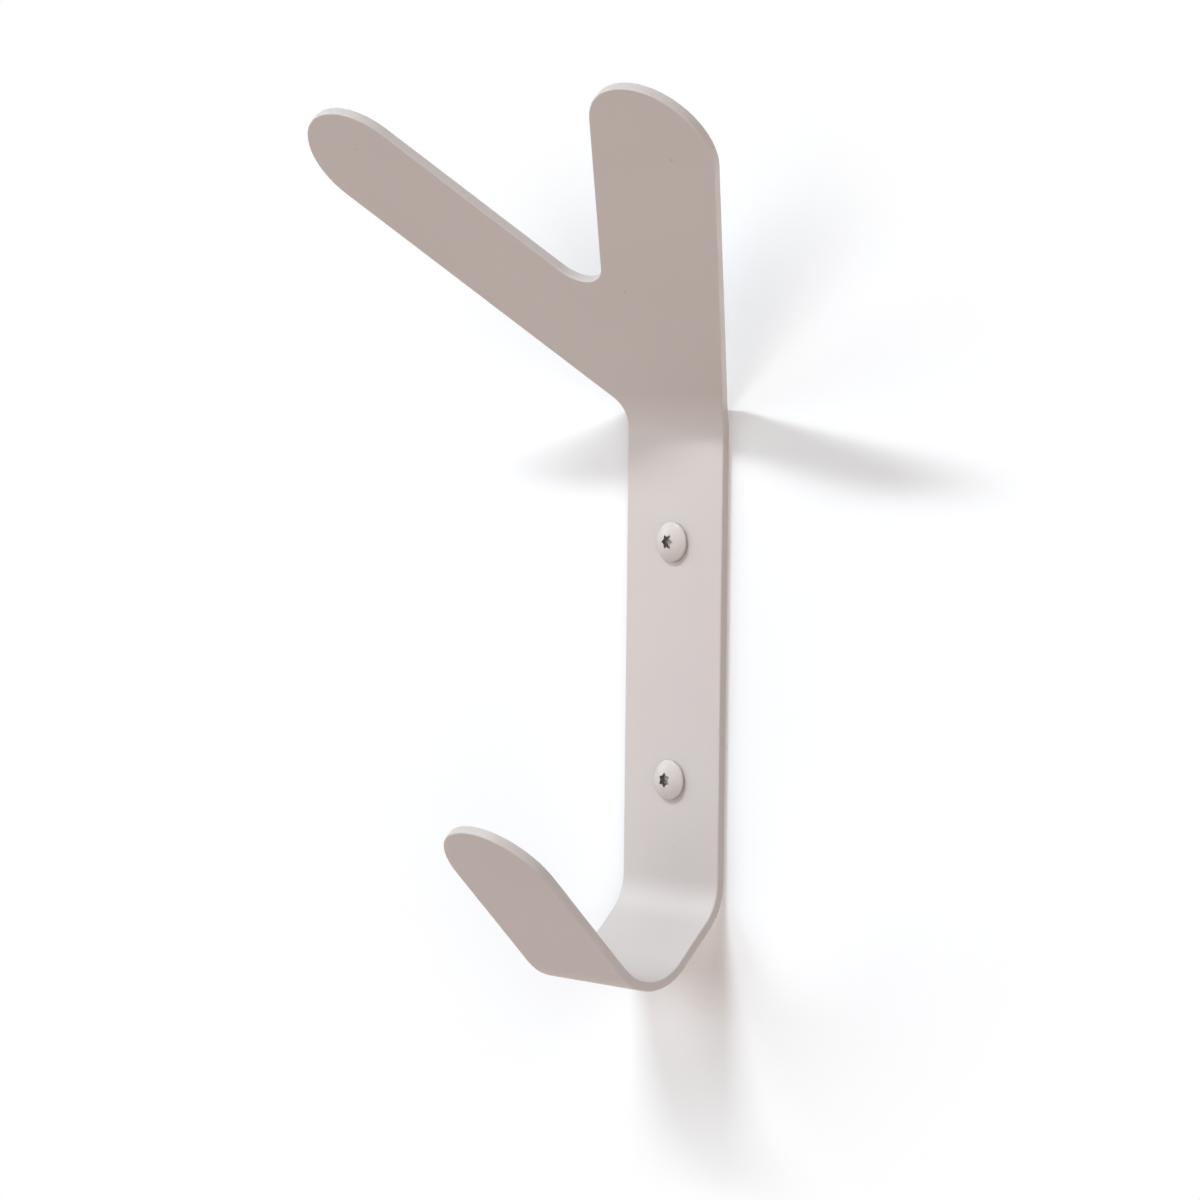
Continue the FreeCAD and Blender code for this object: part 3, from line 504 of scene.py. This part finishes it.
def matt_paint(name, swatch):
    """Matt emulsion paint, clear from behind. To the eye: an even, dull white that shows soft shadows. Where
    it is looked at, it fades to pure white away from the hook."""
    material, tree = new_material(name)
    paint = add_node(tree, "ShaderNodeBsdfDiffuse", {"Color": linear(swatch)})
    white = add_node(tree, "ShaderNodeEmission", {"Color": WHITE})
    away = add_node(tree, "ShaderNodeVectorMath", {0: millimetres(tree)}, operation="LENGTH")
    far = add_node(tree, "ShaderNodeMapRange", {
        "Value": away.outputs["Value"], "From Min": WHITE_FROM, "From Max": WHITE_BY},
        interpolation_type="SMOOTHSTEP")
    seen = add_node(tree, "ShaderNodeMath", {0: far.outputs["Result"], 1: looked_at(tree)},
                    operation="MULTIPLY")
    front = add_node(tree, "ShaderNodeMixShader", {0: seen.outputs["Value"], 1: paint.outputs["BSDF"],
                                                   2: white.outputs["Emission"]})
    side = add_node(tree, "ShaderNodeNewGeometry")
    clear = add_node(tree, "ShaderNodeBsdfTransparent")
    both = add_node(tree, "ShaderNodeMixShader", {0: side.outputs["Backfacing"], 1: front.outputs["Shader"],
                                                  2: clear.outputs["BSDF"]})
    add_node(tree, "ShaderNodeOutputMaterial", {"Surface": both.outputs["Shader"]})
    return material


wall_paint = matt_paint("matt_wall_paint", WALL_SHADE)
floor_paint = matt_paint("pale_floor_paint", FLOOR_SHADE)
print("white from", WHITE_FROM, "to", WHITE_BY, "mm off, on", wall_paint.name, "and", floor_paint.name)

# %% Wall and floor, in metres
HALF_WIDTH = 3.0
WALL_TOP = 2.0
WALL_GAP = 0.0002
FLOOR_LEVEL = -1.2
FLOOR_FRONT = -4.0
FLOOR_BACK = 3.0


def room_face(name, corners, material):
    """One flat quad through four corners, with its front where they run anticlockwise. Light passes it on
    its way to the hook, and it throws none back."""
    mesh = bpy.data.meshes.new(name)
    mesh.from_pydata(corners, [], [(0, 1, 2, 3)])
    mesh.materials.append(material)
    face = bpy.data.objects.new(name, mesh)
    bpy.context.scene.collection.objects.link(face)
    face.visible_diffuse = False
    face.visible_shadow = False


room_face("wall", [(-HALF_WIDTH, WALL_GAP, FLOOR_LEVEL), (HALF_WIDTH, WALL_GAP, FLOOR_LEVEL),
                   (HALF_WIDTH, WALL_GAP, WALL_TOP), (-HALF_WIDTH, WALL_GAP, WALL_TOP)], wall_paint)
room_face("floor", [(-HALF_WIDTH, FLOOR_FRONT, FLOOR_LEVEL), (HALF_WIDTH, FLOOR_FRONT, FLOOR_LEVEL),
                    (HALF_WIDTH, FLOOR_BACK, FLOOR_LEVEL), (-HALF_WIDTH, FLOOR_BACK, FLOOR_LEVEL)],
          floor_paint)
print("wall", round(WALL_GAP / MM, 1), "mm behind the strap, floor", -FLOOR_LEVEL, "m below the origin")

# %% [markdown]
# ## Light
# The shadows in the photograph tell how it was lit. The fork leans out at 45 degrees and throws only a thin,
# dark, wide band on the wall: so the key light is a long, narrow strip, level and parallel to the wall, which
# the fork meets edge on. The faint shadow to the right comes from a large soft light at the left, and others
# fill in. One large dome of light would be less work, but it would wash the band out. Two lamps behind the
# wall show the hook's back.

# %% Lamps, in metres
ORIGIN = (0, 0, 0)
KEY_LEFT = -0.78
KEY_OUT = -2.34
KEY_UP = 2.97
KEY_SIZE = (1.5, 0.15)
KEY_LEVEL = 0.61
KEY_TINT = "#F6FBFF"
SOFT_SIZE = (1.6, 1.4)
SOFT_DISTANCE = 2.5
# Degrees to the left of straight out from the wall, degrees up, level and tint
SOFT_LAMPS = {
    "soft_left": (60, 22, 0.425, "#F4FAFF"),
    "soft_right": (-60, 10, 0.335, "#FFFFFE"),
    "soft_front": (5, 8, 0.24, "#FAFEFF"),
    "table_glow_left": (40, -60, 0.185, "#FFF7F3"),
    "table_glow_right": (-60, -20, 0.14, "#FFF7F3"),
    "low_behind": (180, -35, 0.34, "#FFFCFA"),
    "high_behind": (180, 30, 0.14, "#FAFCFF"),
}


def add_lamp(name, place, aim, size, level, tint):
    """A rectangular lamp at a place, facing another. Level 1 lights a white face that is turned to it from
    the hook's distance up to white: its power is level * pi^2 * distance^2."""
    place = Vector(place)
    lamp = bpy.data.lights.new(name, "AREA")
    lamp.shape = "RECTANGLE"
    lamp.size, lamp.size_y = size
    lamp.energy = level * math.pi ** 2 * place.length_squared
    lamp.color = linear(tint)[:3]
    holder = bpy.data.objects.new(name, lamp)
    holder.location = place
    holder.rotation_mode = "QUATERNION"
    holder.rotation_quaternion = (place - Vector(aim)).to_track_quat("Z", "Y")
    bpy.context.scene.collection.objects.link(holder)
    print(name, "at", [round(v, 2) for v in place], "m with", round(lamp.energy, 1), "W")


add_lamp("key_strip", (KEY_LEFT, KEY_OUT, KEY_UP), (KEY_LEFT, 0, 0), KEY_SIZE, KEY_LEVEL, KEY_TINT)
for name, (left, up, level, tint) in SOFT_LAMPS.items():
    aside = math.radians(left)
    raised = math.radians(up)
    out = SOFT_DISTANCE * math.cos(raised)
    place = (-out * math.sin(aside), -out * math.cos(aside), SOFT_DISTANCE * math.sin(raised))
    add_lamp(name, place, ORIGIN, SOFT_SIZE, level, tint)

# %% [markdown]
# The rest of the light is the room: dim above, warm below, where a wooden table throws light back, and an
# even glow behind the wall. It could be a photographed sky, but three plain colours that run into one
# another are all that matt paint shows. Where the room is looked at or mirrored, it is plain white.

# %% The room: its light in linear red, green and blue, and where each colour runs into the next
BEHIND = (0.43, 0.37, 0.345, 1)
ABOVE = (0.01, 0.035, 0.05, 1)
BELOW = (0.285, 0.17, 0.12, 1)
UP_AND_DOWN = 0.3
WALL_PLANE = 0.02


def surroundings():
    """The room as a sky. Its colour runs from ABOVE to BELOW with the height of the view's direction, and to
    BEHIND where that crosses the wall's plane."""
    world = bpy.data.worlds.new("pale_studio")
    world.use_nodes = True
    tree = world.node_tree
    tree.nodes.clear()
    way = add_node(tree, "ShaderNodeTexCoord").outputs["Generated"]
    part = add_node(tree, "ShaderNodeSeparateXYZ", {"Vector": way})
    down = add_node(tree, "ShaderNodeMapRange", {
        "Value": part.outputs["Z"], "From Min": UP_AND_DOWN, "From Max": -UP_AND_DOWN})
    front = add_node(tree, "ShaderNodeMix", {"Factor": down.outputs["Result"], "A": ABOVE, "B": BELOW},
                     data_type="RGBA")
    back = add_node(tree, "ShaderNodeMapRange", {
        "Value": part.outputs["Y"], "From Min": -WALL_PLANE, "From Max": WALL_PLANE})
    room = add_node(tree, "ShaderNodeMix", {"Factor": back.outputs["Result"], "A": front.outputs["Result"],
                                            "B": BEHIND}, data_type="RGBA")
    lit = add_node(tree, "ShaderNodeBackground", {"Color": room.outputs["Result"]})
    white = add_node(tree, "ShaderNodeBackground", {"Color": WHITE})
    both = add_node(tree, "ShaderNodeMixShader", {0: looked_at(tree), 1: lit.outputs["Background"],
                                                  2: white.outputs["Background"]})
    add_node(tree, "ShaderNodeOutputWorld", {"Surface": both.outputs["Shader"]})
    return world


bpy.context.scene.world = surroundings()
print("room:", bpy.context.scene.world.name)

# %% [markdown]
# ## Camera
# The camera could be placed by eye, but here its place was found by matching corners of the part with the
# same corners in the photograph. It stands almost a metre away with a long lens, to the right and a little
# above, and looks at the wall at about 45 degrees. The photograph leans by a little over half a degree, so
# the camera is rolled by as much.

# %% Camera
EYE = Vector((662.507, -668.863, 60.904)) * MM
YAW, TILT, ROLL = (math.radians(v) for v in (45.998, 2.749, 0.622))
FOCAL_LENGTH = 107.68
SENSOR_WIDTH = 36
ahead = Vector((-math.sin(YAW) * math.cos(TILT), math.cos(YAW) * math.cos(TILT), -math.sin(TILT)))
sideways = Vector((math.cos(YAW), math.sin(YAW), 0))
above = sideways.cross(ahead)
across = sideways * math.cos(ROLL) + above * math.sin(ROLL)
upward = above * math.cos(ROLL) - sideways * math.sin(ROLL)
optics = bpy.data.cameras.new("photo_camera")
optics.lens = FOCAL_LENGTH
optics.sensor_width = SENSOR_WIDTH
optics.clip_start = 10 * MM
camera = bpy.data.objects.new("photo_camera", optics)
camera.matrix_world = Matrix.Translation(EYE) @ Matrix((across, upward, -ahead)).transposed().to_4x4()
bpy.context.scene.collection.objects.link(camera)
bpy.context.scene.camera = camera
print("camera to origin, mm:", round(EYE.length / MM))

# %% [markdown]
# ## Closing
# The view transform is set to Standard, which shows a colour as it was picked. A filmic one would soften
# the highlights, but it would also grey the white wall.

bpy.context.scene.view_settings.view_transform = "Standard"
